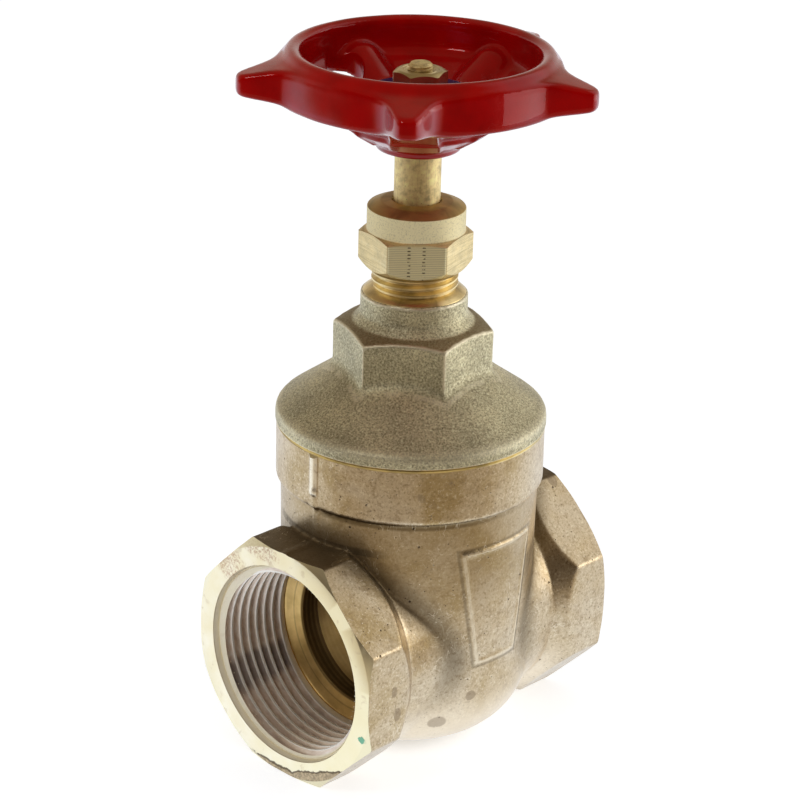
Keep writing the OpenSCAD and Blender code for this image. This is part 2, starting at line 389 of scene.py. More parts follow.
def mark_edges(piece, rounds=3, gain=1.6):
    """Store how far each point stands out from its neighbours, for wear, painted shade and painted highlights
    along the edges.
    """
    mesh = piece.data
    count = len(mesh.vertices)
    points, normals = read(mesh.vertices, "co"), read(mesh.vertex_normals, "vector")
    a, b = read(mesh.edges, "vertices", 2, np.int64).T
    span = points[b] - points[a]
    length = np.maximum(np.linalg.norm(span, axis=1), 1e-7)
    both = np.concatenate([a, b])
    other = np.concatenate([b, a])
    links = np.maximum(np.bincount(both, minlength=count), 1)
    drop = np.concatenate([-(span * normals[a]).sum(1), (span * normals[b]).sum(1)]) / np.tile(length, 2)
    proud = np.bincount(both, drop, count) / links
    for _ in range(rounds):
        proud = 0.5 * proud + 0.5 * np.bincount(both, proud[other], count) / links
    store = mesh.attributes.new("proud", "FLOAT", "POINT")
    store.data.foreach_set("value", (proud * gain).astype(np.float32))


def tidy(piece):
    """Merge doubles and point every face outwards."""
    work = bmesh.new()
    work.from_mesh(piece.data)
    bmesh.ops.remove_doubles(work, verts=work.verts, dist=1e-7)
    bmesh.ops.dissolve_degenerate(work, edges=work.edges, dist=1e-7)
    bmesh.ops.recalc_face_normals(work, faces=work.faces)
    work.to_mesh(piece.data)
    work.free()
    return piece


def node_tree(name, inputs):
    """An empty Geometry Nodes tree with named number inputs, and those inputs as Values."""
    tree = bpy.data.node_groups.new(name, "GeometryNodeTree")
    tree.interface.new_socket("Geometry", in_out="OUTPUT", socket_type="NodeSocketGeometry")
    for label, number in inputs.items():
        tree.interface.new_socket(label, in_out="INPUT", socket_type="NodeSocketFloat").default_value = number
    given = tree.nodes.new("NodeGroupInput")
    return tree, {label: Value(tree, given.outputs[label]) for label in inputs}


def close_tree(tree, geometry, finish):
    """End a tree in smooth shading, Realize Instances and Set Material."""
    for kind in ("GeometryNodeSetShadeSmooth", "GeometryNodeRealizeInstances"):
        geometry = output(tree, kind, Geometry=geometry)
    geometry = output(tree, "GeometryNodeSetMaterial", Geometry=geometry, Material=finish)
    feed(tree, geometry, tree.nodes.new("NodeGroupOutput").inputs[0])


def run_tree(name, tree, inputs, finishes, finish=0):
    """Run a tree on an empty object with these inputs and keep the plain mesh."""
    piece = add_object(name, bpy.data.meshes.new(name))
    modifier = piece.modifiers.new("shape", "NODES")
    modifier.node_group = tree
    for item in tree.interface.items_tree:
        if item.in_out == "INPUT":
            modifier[item.identifier] = float(inputs[item.name])
    bake(piece)
    if not piece.data.polygons:
        raise RuntimeError(f"{name} came out empty")
    set_finishes(piece, finishes, finish)
    return piece


def grow(name, low, high, grain, inputs, field, finishes):
    """Grow a piece from a distance field in millimetres, sampled on a fine grid."""
    tree, given = node_tree(name + " shape", inputs)
    place = in_millimetres(output(tree, "GeometryNodeInputPosition"))
    cells = [math.ceil((b - a) / grain) for a, b in zip(low, high)]
    cube = output(tree, "GeometryNodeVolumeCube", Density=0.5 - field(tree, place, given), Background=-1,
                  Min=[a * MM for a in low], Max=[(a + n * grain) * MM for a, n in zip(low, cells)],
                  **{"Resolution_" + label: n + 1 for label, n in zip("XYZ", cells)})
    skin = output(tree, "GeometryNodeVolumeToMesh", Volume=cube, Threshold=0.5)
    close_tree(tree, skin, finishes[0])
    return run_tree(name, tree, inputs, finishes)


def thread_tree():
    """A closed ridge wound round Z: its inner edge, outer edge and turns are inputs."""
    inputs = {"Inner radius": 1.0, "Outer radius": 2.0, "Inner width": 1.0, "Outer width": 0.2,
              "Pitch": 1.0, "Turns": 5.0, "Start height": 0.0, "Start angle": 0.0, "Hand": 1.0,
              "Run out": 0.04}
    steps_per_turn, corners = 96, 4
    tree, given = node_tree("Thread ridge", inputs)
    grid = output(tree, "GeometryNodeMeshGrid", "Mesh", Size_X=1, Size_Y=1,
                  Vertices_X=(given["Turns"] * steps_per_turn).op("ROUND"), Vertices_Y=corners + 1)
    along, corner, _ = output(tree, "GeometryNodeInputPosition").split()
    along = along + 0.5
    corner = (corner + 0.5) * corners
    is_outer = abs(corner - 1.5).op("LESS_THAN", 1.0)
    side = 1 - 2 * abs(corner - 2.5).op("GREATER_THAN", 1.0)
    lift = along.low(1 - along).ease(0, given["Run out"])
    width = given["Inner width"] + (given["Outer width"] - given["Inner width"]) * is_outer
    height = given["Start height"] + along * given["Turns"] * given["Pitch"] + side * width * 0.5 * lift
    radius = given["Inner radius"] + (given["Outer radius"] - given["Inner radius"]) * is_outer * lift
    angle = given["Start angle"] + along * given["Turns"] * (2 * math.pi) * given["Hand"]
    wound = combine(tree, radius * angle.op("COSINE") * MM, radius * angle.op("SINE") * MM, height * MM)
    moved = output(tree, "GeometryNodeSetPosition", Geometry=grid, Position=wound)
    close_tree(tree, output(tree, "GeometryNodeMergeByDistance", Geometry=moved, Distance=1e-6), None)
    return tree, inputs


def thread(name, finishes, finish=0, axis="Z", **changes):
    """Wind one thread ridge as a closed solid."""
    tree, inputs = thread_tree()
    for label, number in changes.items():
        inputs[label.replace("_", " ").capitalize()] = number
    ridge = tidy(run_tree(name, tree, inputs, finishes, finish))
    if axis == "X":
        ridge.data.transform(Matrix(((0, 0, 1, 0), (1, 0, 0, 0), (0, 1, 0, 0), (0, 0, 0, 1))))
    return ridge


def polygon(sides, half, corner, steps):
    """Distance from the axis to a regular polygon's sides all round, with rounded corners."""
    turn_from_face = (np.arange(steps) * 360 / steps) % (360 / sides) - 180 / sides
    return np.minimum(half / np.cos(np.radians(turn_from_face)), corner)


def dress(name, finish):
    """Give a CAD node that stays in view its finish."""
    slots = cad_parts[name].data.materials
    slots.clear()
    slots.append(finish)


def hand_in(piece, angle, body, node):
    """Shade a piece, crisp where faces meet above an angle, and give it to its body for its CAD node."""
    mesh = piece.data
    mesh.polygons.foreach_set("use_smooth", [True] * len(mesh.polygons))
    mesh.set_sharp_from_angle(angle=math.radians(angle))
    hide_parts(node)
    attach(piece, body)


# ---------- finishes ----------

def scaled(rgb, factor):
    return tuple(min(1.0, c * factor) for c in rgb)


class Finish:
    """A node material under construction; places and heights are in millimetres."""

    def __init__(self, name, metal=0.0, **constants):
        self.material = bpy.data.materials.new(name)
        self.tree = open_tree(self.material)
        self.shader = self.tree.nodes["Principled BSDF"]
        self.metal(metal)
        for label, number in constants.items():
            self.shader.inputs[label.replace("_", " ")].default_value = number
        self.place = in_millimetres(output(self.tree, "ShaderNodeTexCoord", "Object"))
        self.x, self.y, self.z = self.place.split()
        self.spin = hypot(self.x, self.y)
        self.reach = hypot(self.y, self.z)
        self.colour = None

    def noise(self, grain, seed=0, **settings):
        return noise(self.tree, self.place, grain, seed, **settings)

    def pits(self, grain, radius, share, seed=0):
        """Spots of a radius, in cells of the grain's size, with only a share of the cells used."""
        cell = (self.tree, "ShaderNodeTexVoronoi", self.place, grain)
        distance = texture(*cell, "Distance", seed)
        lucky = texture(*cell, "Color", seed).split()[0].op("LESS_THAN", share)
        return distance.ease(radius / grain, radius / grain * 0.45) * lucky

    def patch(self, centre, radii, ragged, soft, seed):
        """A stain round a place, 1 inside and 0 outside, with a ragged edge."""
        away = vector_op(self.tree, "SUBTRACT", self.place, centre)
        away = vector_op(self.tree, "DIVIDE", away, radii)
        away = vector_op(self.tree, "LENGTH", away)
        away = away + (self.noise(min(radii) * 1.1, seed) - 0.5) * ragged * 2
        return away.ease(1.0 + soft / 2, 1.0 - soft / 2)

    def ramp(self, value, *stops):
        node = self.tree.nodes.new("ShaderNodeValToRGB")
        elements = node.color_ramp.elements
        while len(elements) < len(stops):
            elements.new(0.5)
        for element, (position, rgb) in zip(elements, stops):
            element.position = position
            element.color = (*rgb, 1)
        feed(self.tree, value, node.inputs[0])
        return Value(self.tree, node.outputs[0])

    def shades(self, value, rgb, *stops):
        """Start the finish in shades of one colour: stops of (value, brightness)."""
        self.colour = self.ramp(value, *((at, scaled(rgb, factor)) for at, factor in stops))

    def mix(self, factor, under, over):
        node = self.tree.nodes.new("ShaderNodeMix")
        node.data_type = "RGBA"
        feed(self.tree, factor, node.inputs["Factor"])
        for socket, item in ((node.inputs[6], under), (node.inputs[7], over)):
            feed(self.tree, item if isinstance(item, Value) else (*item, 1), socket)
        return Value(self.tree, node.outputs[2])

    def lay(self, factor, over):
        """Lay one more colour over the finish, as strongly as the factor says."""
        self.colour = self.mix(factor, self.colour, over)

    def metal(self, amount):
        feed(self.tree, amount, self.shader.inputs["Metallic"])

    def edges(self, start, end):
        """1 on outward edges, 0 on flat ground, for pieces that mark_edges has measured."""
        node = self.tree.nodes.new("ShaderNodeAttribute")
        node.attribute_name = "proud"
        return Value(self.tree, node.outputs["Fac"]).ease(start, end)

    def done(self, rough, height):
        """Wire up the colour, the roughness and a bump height, and give the material."""
        feed(self.tree, self.colour, self.shader.inputs["Base Color"])
        feed(self.tree, rough, self.shader.inputs["Roughness"])
        bump = output(self.tree, "ShaderNodeBump", Distance=MM, Strength=1.0, Height=height)
        feed(self.tree, bump, self.shader.inputs["Normal"])
        return self.material


# Dark stains on the forging: centre, radii and seed.
BLOTCHES = [
    ((-12.7, -22.2, -13.3), (2.0, 2.0, 1.6), 21),
    ((-6.4, -25.6, -7.9), (1.2, 1.2, 1.1), 22),
    ((33.0, -11.2, 24.3), (1.2, 1.5, 1.5), 25),
    ((-27.6, -25.1, -4.6), (1.0, 1.0, 1.5), 23),
    ((-28.6, -25.1, 0.9), (0.8, 1.0, 1.2), 24),
]


def forged_finish(rgb):
    """Pickled, tumbled forging: pinkish tan with golden-brown clouds, stains and dark pits, plus painted
    light and shade.
    """
    f = Finish("forged brass", metal=0.95)
    clouds = f.noise(14, 1, detail=4, distortion=0.4)
    f.colour = f.ramp(clouds, (0.36, (0.47, 0.345, 0.17)), (0.50, rgb), (0.66, (0.65, 0.54, 0.38)))
    mottle = f.noise(1.8, 2, detail=5, roughness=0.7)
    f.lay(mottle.ease(0.52, 0.66) * 0.50, (0.36, 0.26, 0.15))
    f.lay(mottle.ease(0.46, 0.32) * 0.28, (0.80, 0.70, 0.50))
    grit = f.noise(0.55, 9, detail=4, roughness=0.75)
    f.lay(grit.ease(0.53, 0.64) * 0.6, (0.27, 0.19, 0.09))
    f.lay(grit.ease(0.45, 0.34) * 0.5, (0.95, 0.85, 0.64))
    # Painted shade in the crease where the barrel runs into the chamber.
    crease_shade = abs(abs(f.x) - hypot(f.z, 11.0)).ease(6.0, 0.3) * f.z.ease(-13, 2) * f.z.ease(33, 27)
    # Painted shadow: a dark band just under the ring's lower edge, on the side the camera sees.
    under = abs(f.z - 32.5).ease(1.4, 0.7) * f.x.ease(12, -16) * f.y.ease(1, -4) * f.spin.ease(27.9, 27.4)
    f.lay(under * 0.85, (0.045, 0.03, 0.012))
    upper = f.z.ease(6, 22) * f.z.ease(35, 32) * f.spin.ease(27.5, 26.9)
    f.lay(upper * 0.45, (0.36, 0.26, 0.13))
    # Painted reflection: the lower chamber is laid lighter and creamier where it mirrors the bright floor.
    floor_reflection = f.z.ease(-4, -16) * abs(f.x).ease(27, 22)
    f.lay(floor_reflection * 0.75, (0.95, 0.82, 0.62))
    # Painted shade: dark along the octagons' edges, dimming the highlight they catch.
    corner = f.edges(0.10, 0.30) * abs(f.x).ease(26.5, 27.5)
    f.lay(corner * 0.75, (0.12, 0.085, 0.045))
    # Painted shade on the octagons' top flats.
    top_flats = f.z.ease(24.6, 25.0) * f.z.ease(27, 26) * abs(f.x).ease(21, 25)
    painted_shade = (crease_shade * 0.75).high(top_flats)
    f.lay(painted_shade * 0.80, (0.12, 0.09, 0.05))
    slope = abs(f.x) - (f.z - PANEL_FOOT) * PANEL_SPREAD - PANEL_HALF
    outline = slope.high(f.z - PANEL_TOP).high(PANEL_FOOT - f.z)
    front = (-f.y).ease(17, 20)
    # Painted highlight along the panel's ridge and painted shade along its outer foot, on the front side.
    f.lay(abs(outline + 0.55).ease(0.50, 0.15) * front * 0.45, (0.92, 0.82, 0.62))
    f.lay(abs(outline - 0.40).ease(0.55, 0.10) * front * 0.50, (0.16, 0.12, 0.07))
    stain = f.noise(2.6, 5, detail=1).ease(0.73, 0.76) * 0.5
    for centre, radii, seed in BLOTCHES:
        stain = stain.high(f.patch(centre, radii, 0.22, 0.25, seed))
    f.lay(stain * 0.5, (0.30, 0.23, 0.16))
    dark = f.pits(1.3, 0.17, 0.30, 3).high(f.pits(3.6, 0.32, 0.30, 4)).high(f.pits(0.8, 0.10, 0.2, 11))
    f.lay(dark * 0.8, (0.06, 0.035, 0.02))
    glints = f.pits(1.7, 0.15, 0.25, 8)
    f.lay(glints * 0.8, (1.0, 0.92, 0.72))
    scratch = f.noise(3.0, 12, stretch=(0.7, 1.3, 0.5), detail=2, distortion=1.2)
    scratch = abs(scratch - 0.5).ease(0.010, 0.003) * f.noise(8, 13).ease(0.52, 0.60)
    f.lay(scratch * 0.45, (0.95, 0.85, 0.66))
    stripe = abs(f.y + 0.1).ease(1.12, 0.92) * f.x.ease(-15, -20) * f.z.ease(35.6, 36.2)
    f.lay(stripe * (1.0 - mottle.ease(0.5, 0.7) * 0.4), (1.0, 0.92, 0.74))
    rough = 0.27 + mottle * 0.14 + stain * 0.15 + dark * 0.2 + painted_shade * 0.15
    height = f.noise(0.55, 6, detail=3) * 0.030 + f.noise(3.2, 7) * 0.07 - dark * 0.10
    return f.done(rough, height)


def cavity_finish(rgb):
    """The rough inside of the forging, where the wedge moves."""
    f = Finish("inside of the forging", metal=0.9)
    mottle = f.noise(3, 1, detail=5, roughness=0.65)
    f.shades(mottle, rgb, (0.35, 0.55), (0.65, 0.85))
    return f.done(0.5 + mottle * 0.1, f.noise(0.8, 2, detail=3) * 0.05)


def face_finish(rgb):
    """Turned port face: cream brass with fine rings, raw patches where the cut just missed the forging."""
    f = Finish("turned port face", metal=0.95)
    rings = (f.reach + f.noise(4, 3) * 0.05) * 9.0
    rings = rings.op("SINE") * 0.5 + 0.5
    tone = f.noise(5, 1, detail=3)
    f.colour = f.ramp(tone, (0.35, (0.93, 0.84, 0.58)), (0.65, (0.98, 0.91, 0.70)))
    f.lay(f.y.ease(8, -18) * 0.6, (0.95, 0.86, 0.54))
    specks = f.noise(0.7, 4, detail=4, roughness=0.7)
    rust = f.patch((-PORT_FACE, 16.0, 17.5), (3, 3.6, 4.4), 0.5, 0.6, 5).high(
        f.patch((-PORT_FACE, 7.0, 23.3), (3, 5.5, 1.9), 0.5, 0.6, 6))
    rust = rust * f.noise(0.5, 14, detail=4, roughness=0.75).ease(0.42, 0.62)
    f.lay(rust * 0.55, (0.50, 0.25, 0.14))
    missed = f.z + 24.0 - (-3.0 - f.y).high(0) * 0.42 + (f.noise(1.6, 7, detail=4) - 0.5) * 1.6
    raw = missed.ease(0.15, -0.15)
    brink = abs(missed).ease(0.35, 0.12) * f.x.ease(-35, -35.5)
    f.lay(raw, f.mix(specks.ease(0.40, 0.60), rgb, scaled(rgb, 0.6)))
    f.lay(brink * 0.85, (0.09, 0.06, 0.03))
    worn = f.noise(3.2, 8, detail=5, distortion=0.6).ease(0.60, 0.66)
    f.lay(worn * 0.25, (0.60, 0.48, 0.32))
    dab = f.patch((-PORT_FACE, -23.4, -8.1), (1.0, 1.05, 0.80), 0.6, 0.2, 9)
    f.lay(dab, (0.20, 0.46, 0.30))
    f.lay(f.reach.ease(25.25, 25.45) * 0.8, (0.88, 0.81, 0.55))
    inside = f.x.ease(-35.85, -35.6) * f.reach.ease(22.5, 22.0)
    f.lay(inside * 0.6, (1.0, 0.93, 0.76))
    f.metal(0.95 - inside * 0.5)
    rough = 0.28 + raw * 0.2 + rust * 0.2 + worn * 0.1 + inside * 0.25
    return f.done(rough, rings * 0.0015 + raw * specks * 0.05 - brink * 0.05 + dab * 0.04)


def bore_finish():
    """Cut threads and bores: mauve-brown flanks, with cream painted highlights along the crests."""
    f = Finish("cut thread", metal=0.72)
    streaks = f.noise(1.6, 1, stretch=(3.0, 0.6, 0.6), detail=4)
    f.colour = f.ramp(streaks, (0.30, (0.72, 0.59, 0.48)), (0.55, (0.92, 0.79, 0.67)),
                      (0.75, (1.0, 0.94, 0.85)))
    shade = abs(bearing(abs(f.y), f.z) + 31 + f.noise(5, 6) * 8 - 4).ease(13, 6)
    shade = shade * f.y.ease(-2, 2) * f.x.ease(-2, -4)
    f.lay(shade * 0.55, (0.20, 0.16, 0.16))
    # Painted highlights along the crests of the thread.
    crest_highlight = f.reach.ease(19.80, 19.62)
    f.lay(crest_highlight, (1.0, 0.97, 0.90))
    rough = 0.26 + streaks * 0.12 + crest_highlight * 0.12
    return f.done(rough, f.noise(0.35, 2, stretch=(4, 0.5, 0.5)) * 0.012)


def shoulder_finish():
    """Turned gold shoulder behind the thread, with painted shade inside the waterway, a line and two tool
    marks.
    """
    f = Finish("turned shoulder", metal=0.95)
    tone = f.noise(4, 1, detail=4)
    f.colour = f.ramp(tone, (0.35, (0.62, 0.43, 0.16)), (0.65, (0.84, 0.60, 0.25)))
    lines = f.noise(1.0, 2, stretch=(5.0, 0.15, 0.15), detail=3)
    # Painted shade: the waterway's bore is laid almost black-brown, a little less on its tool rings.
    inside = f.reach.ease(16.3, 15.9)
    tool_rings = (f.x * 5.2 + f.noise(5, 7)).op("SINE").ease(-0.2, 0.7)
    f.lay(inside * (0.94 - tool_rings * 0.10), (0.10, 0.055, 0.015))
    line = abs(f.reach - 17.7).ease(0.22, 0.10)
    slots = f.patch((-17.2, 10.5, -10.8), (1.0, 1.1, 0.45), 0.1, 0.3, 3).high(
        f.patch((-17.2, 8.6, -13.4), (1.0, 1.1, 0.45), 0.1, 0.3, 4))
    f.lay((line * 0.30).high(slots), (0.05, 0.03, 0.01))
    return f.done(0.28 + lines * 0.14 + inside * 0.15, lines * 0.02 - slots * 0.1)


def gland_finish(rgb):
    """Milled hexagon and turned collar: satin brass with fine level lines, a few dark nicks, and painted
    light on the face towards the camera.
    """
    f = Finish("gland brass", metal=0.95)
    tone = f.noise(3.5, 1, detail=5, roughness=0.65)
    f.shades(tone, rgb, (0.32, 0.80), (0.52, 1), (0.72, 1.15))
    level = f.noise(1.0, 6, stretch=(0.12, 0.12, 5.0), detail=4, roughness=0.7)
    f.lay(level.ease(0.50, 0.64) * 0.40, scaled(rgb, 0.45))
    f.lay(level.ease(0.46, 0.34) * 0.35, (0.95, 0.86, 0.60))
    grit = f.noise(0.35, 9, detail=3, roughness=0.7)
    f.lay(grit.ease(0.54, 0.68) * 0.30, scaled(rgb, 0.35))
    turn_round = bearing(f.x, f.y)
    # Painted light: the hexagon's face towards the camera is laid lighter.
    front = abs(turn_round + 134.25).ease(30.6, 29.6) * f.z.ease(86.2, 85.6)
    lines = (f.z * 16.5 + f.noise(3, 12) * 2).op("SINE")
    f.lay(front * 0.9, (1.0, 0.95, 0.64))
    f.lay(lines.ease(0.45, 0.95) * front * 0.50, scaled(rgb, 0.35))
    column = abs(abs(turn_round + 134.9) - 8.3).ease(2.2, 1.2)
    nicks = column * front * (f.z * 8.3).op("SINE").ease(0.3, 0.7) * f.noise(0.9, 14).ease(0.42, 0.52)
    f.lay(nicks * 0.85, (0.05, 0.035, 0.015))
    collar = f.z.ease(86.45, 86.6)
    f.lay(collar * 0.85, (1.0, 0.90, 0.54))
    f.lay(grit.ease(0.50, 0.66) * collar * 0.35, scaled(rgb, 0.45))
    f.metal(0.95 - collar * 0.60)
    rough = 0.38 + tone * 0.12 + level * 0.10 + collar * 0.08
    return f.done(rough, level * 0.02 - nicks * 0.05 - lines * front * 0.006)


def machined_finish(rgb, name, lines=LEVEL_LINES, brown=0.25, rough=0.22):
    """Bright turned brass: fine tool lines, a light tarnish and a few dark specks."""
    f = Finish(name, metal=1.0)
    tone = f.noise(5, 1, detail=4, distortion=0.6)
    f.shades(tone, rgb, (0.30, 1.0 - brown), (0.55, 1), (0.75, 1.12))
    specks = f.pits(1.4, 0.11, 0.25, 4)
    f.lay(specks * 0.7, scaled(rgb, 0.25))
    tool = f.noise(1.0, 6, stretch=lines, detail=3)
    rough = rough + tone * 0.12 + tool * 0.10
    return f.done(rough, tool * 0.010 - specks * 0.03)


def hexagon_sides(x, y, half):
    """Distances from the bonnet's three pairs of flats, below zero inside."""
    angles = [math.radians(BONNET_TURN + 60 * pair) for pair in range(3)]
    return [abs(x * math.cos(angle) + y * math.sin(angle)) - half for angle in angles]


def bonnet_arch(spin, z):
    """Distance to the sloping top of the bonnet's hexagon, below zero inside."""
    return spin * 0.2508 + z * 0.968 - 67.91


def blasted_finish(rgb):
    """Sand-blasted bonnet: grey-khaki, even sparkle of fine grain, rubbed bright on the edges, plus painted
    highlights and shade.
    """
    f = Finish("blasted brass", metal=0.85)
    clouds = f.noise(11, 1, detail=4)
    f.shades(clouds, rgb, (0.35, 0.80), (0.52, 1), (0.68, 1.22))
    grain = f.noise(0.42, 2, detail=3, roughness=0.75)
    f.lay(grain.ease(0.50, 0.60) * 0.62, scaled(rgb, 0.30))
    f.lay(grain.ease(0.46, 0.36) * 0.55, scaled(rgb, 2.0))
    # Painted shade on the sloping top of the hexagon.
    top = bonnet_arch(f.spin, f.z).ease(-0.7, -0.3) * f.spin.ease(12.4, 12.9)
    f.lay(top * 0.62, (0.22, 0.15, 0.06))
    first, second, third = hexagon_sides(f.x, f.y, BONNET_HALF)
    foot = first.high(second).high(third)
    # Painted highlights: broken light arcs along the foot of each hexagon face, and a light band on the
    # skirt's shoulder.
    foot_highlight = abs(foot - 1.5).ease(0.65, 0.25) * f.noise(4, 9).ease(0.40, 0.52)
    shoulder = f.spin.ease(26.4, 27.2) * f.z.ease(46.2, 46.8)
    f.lay((foot_highlight * 0.40).high(shoulder * 0.22), (0.95, 0.88, 0.66))
    # Edges rubbed bright, which also paints the thin highlights they catch.
    edge = f.edges(0.05, 0.24)
    f.lay(edge * 0.7, (0.92, 0.84, 0.62))
    dark = f.pits(2.6, 0.22, 0.25, 5)
    f.lay(dark * 0.6, (0.06, 0.05, 0.03))
    rough = 0.46 + grain * 0.14 - edge * 0.14
    return f.done(rough, grain * 0.10 + f.noise(1.4, 3) * 0.05 - dark * 0.08)


def paint_finish(rgb):
    """Deep red gloss enamel on a casting: orange peel, small chips and fine scratches."""
    f = Finish("red enamel", Coat_Weight=0.42, Coat_Roughness=0.03, Specular_IOR_Level=0.5,
               Specular_Tint=(1.0, 0.04, 0.04, 1.0))
    tone = f.noise(9, 1, detail=3)
    f.shades(tone, rgb, (0.35, 0.80), (0.65, 1.10))
    chips = f.pits(7.5, 0.30, 0.22, 3)
    f.lay(chips * 0.85, (0.52, 0.20, 0.17))
    scratch = f.noise(2.4, 5, stretch=(0.35, 1.6, 2.6), detail=2, distortion=1.5)
    scratch = abs(scratch - 0.5).ease(0.006, 0.0015) * f.noise(9, 6).ease(0.60, 0.66)
    f.lay(scratch * 0.4, (0.45, 0.12, 0.11))
    peel = f.noise(1.6, 2, detail=1)
    swell = f.noise(5.5, 7, detail=1)
    return f.done(0.22 + chips * 0.3, peel * 0.016 + swell * 0.05 - chips * 0.05)


def disc_finish(rgb):
    """Blue anodised disc, bright where its edge was punched."""
    f = Finish("blue disc", metal=0.6)
    rings = ((f.spin * 14.0).op("SINE") * 0.5 + 0.5) * 0.25
    f.colour = f.mix(rings, rgb, scaled(rgb, 1.6))
    rim = f.spin.ease(10.25, 10.42)
    f.lay(rim * 0.8, (0.35, 0.36, 0.42))
    return f.done(0.28 + f.noise(3, 1) * 0.1, f.noise(0.6, 2) * 0.006)


def stem_finish(rgb):
    """Drawn bar: mottled yellow-brown brass with faint vertical draw lines."""
    f = Finish("stem brass", metal=0.95)
    tone = f.noise(2.0, 1, detail=5, roughness=0.65)
    f.shades(tone, rgb, (0.34, 0.62), (0.50, 1), (0.66, 1.30))
    draw = f.noise(0.8, 2, stretch=(4.0, 4.0, 0.25), detail=3)
    specks = f.pits(0.9, 0.12, 0.3, 4)
    f.lay(specks * 0.7, scaled(rgb, 0.25))
    f.lay(draw.ease(0.55, 0.68) * 0.4, scaled(rgb, 0.4))
    return f.done(0.50 + tone * 0.16, draw * 0.015 + tone * 0.02 - specks * 0.03)


def packing_finish():
    """Braided white packing: a slanting weave of strands round the stem."""
    f = Finish("packing braid", Sheen_Weight=0.2)
    angle = f.y.op("ARCTAN2", f.x)
    weave = (angle * 26 + f.z * 4.4).op("SINE") * (angle * 26 - f.z * 4.4).op("SINE")
    f.colour = f.ramp(weave * 0.5 + 0.5, (0.2, (0.52, 0.51, 0.47)), (0.7, (0.86, 0.85, 0.81)))
    return f.done(0.75, weave * 0.10)


# ---------- body ----------

def body_field(tree, place, given):
    """Forging: octagonal ends, barrel, upright chamber with its ring, bare panel and parting ridge."""
    x, y, z = place.split()
    side, across, level = abs(x), abs(y), abs(z)
    spin, reach = hypot(x, y), hypot(y, z)

    foot_height, foot_radius, draft = -22.6, 14.0, 0.0118
    wall = given["Chamber radius"] - 0.5 + (z - foot_height - foot_radius) * draft
    out, down = spin - (wall - foot_radius), (foot_radius + foot_height) - z
    chamber = hypot(out.high(0), down.high(0)) + out.high(down).low(0) - foot_radius
    chamber = chamber.high(z - 34)
    ring_foot, grown_top = 32.9, 45.5
    ring = (spin - given["Ring radius"]).pare(ring_foot - z, 1.0).high(z - grown_top)
    upright = chamber.melt(ring, 0.5)

    octagon_back, grown_end, diagonal = 27, 37, 0.70711
    barrel = (reach - side.ease(27, 12, 22.8, 24.0)).high(side - octagon_back)
    flat = given["Across flats"] / 2
    octagon = (across - flat).pare(level - flat, 0.3).pare((across + level) * diagonal - flat, 0.3)
    back = (reach - (side - 20) * 0.793 - 21.8) * 0.78
    octagon = octagon.pare(back, 0.3).high(10 - side).high(side - grown_end)
    pipe = barrel.melt(octagon, 0.5)
    forging = pipe.melt(upright, given["Crease blend"])

    slope = (z - PANEL_FOOT) * PANEL_SPREAD + PANEL_HALF
    panel = (side - slope).pare(z - PANEL_TOP, 1.0).pare(PANEL_FOOT - z, 1.0)
    ridge = abs(panel + 0.55).ease(0.75, 0.1) * given["Panel ridge"]
    plate = panel.ease(0.2, -0.5) * 0.10
    forging = forging - (ridge + plate) * (-y).ease(10, 14)

    flash = across.ease(1.15, 0.65) * (noise(tree, place, 5, 3) * 0.25 + 0.06 + z.ease(35.4, 36.4) * 0.34)
    flash = flash + hypot(y + 0.3, z - 36.6).ease(1.2, 0.5) * 0.25
    dents = noise(tree, place, 7, 4, detail=2) * 0.30 + noise(tree, place, 2.1, 5, detail=2) * 0.10
    forging = forging - flash * x.ease(-12, -16) - (dents - 0.2) * 0.5 * z.ease(45.4, 44.6)
    resting_flat = 25.08
    return forging.high(-resting_flat - z)


def port_tool(finishes):
    """What the lathe takes out of one pipe end: face, mouth, thread bore, shoulder and waterway."""
    face, floor, minor, major = PORT_FACE, SHOULDER, 19.5, 20.95
    bore = [(0, floor), (minor, floor), (minor, face - 2.0), (0, face - 2.0)]
    tool = turned("port tool", bore, finishes, 1, "X")
    fit(tool, thread("port thread", finishes, 1, "X", inner_radius=minor - 0.3, outer_radius=major,
                     inner_width=2.2, outer_width=0.38, pitch=2.309, turns=9.0, run_out=0.006,
                     start_height=floor + 1.05, start_angle=math.radians(-34)), "UNION")
    waterway = [(0, 5.0), (16.1, 5.0), (16.1, floor - 6.2), (15.6, floor - 5.9), (15.6, floor - 1.62),
                (15.72, floor - 1.48), (19.3, floor - 0.45), (19.7, floor - 0.1), (19.7, floor + 0.15),
                (19.4, floor + 0.5), (0, floor + 0.5)]
    mouth = [(0, face - 2.3), (19.2, face - 2.3), (19.2, face - 1.85), (20.7, face - 1.25),
             (20.8, face - 1.45), (21.06, face - 1.45), (21.04, face - 1.0), (21.32, face),
             (21.9, 40.0), (0, 40.0)]
    facing = [(0, face), (25.25, face), (25.45, face - 0.1), (29.5, 33.3), (29.5, 41), (0, 41)]
    for name, rows, finish in (("waterway", waterway, 4), ("mouth", mouth, 2), ("facing", facing, 2)):
        fit(tool, turned(name + " tool", rows, finishes, finish, "X"), "UNION")
    return tool


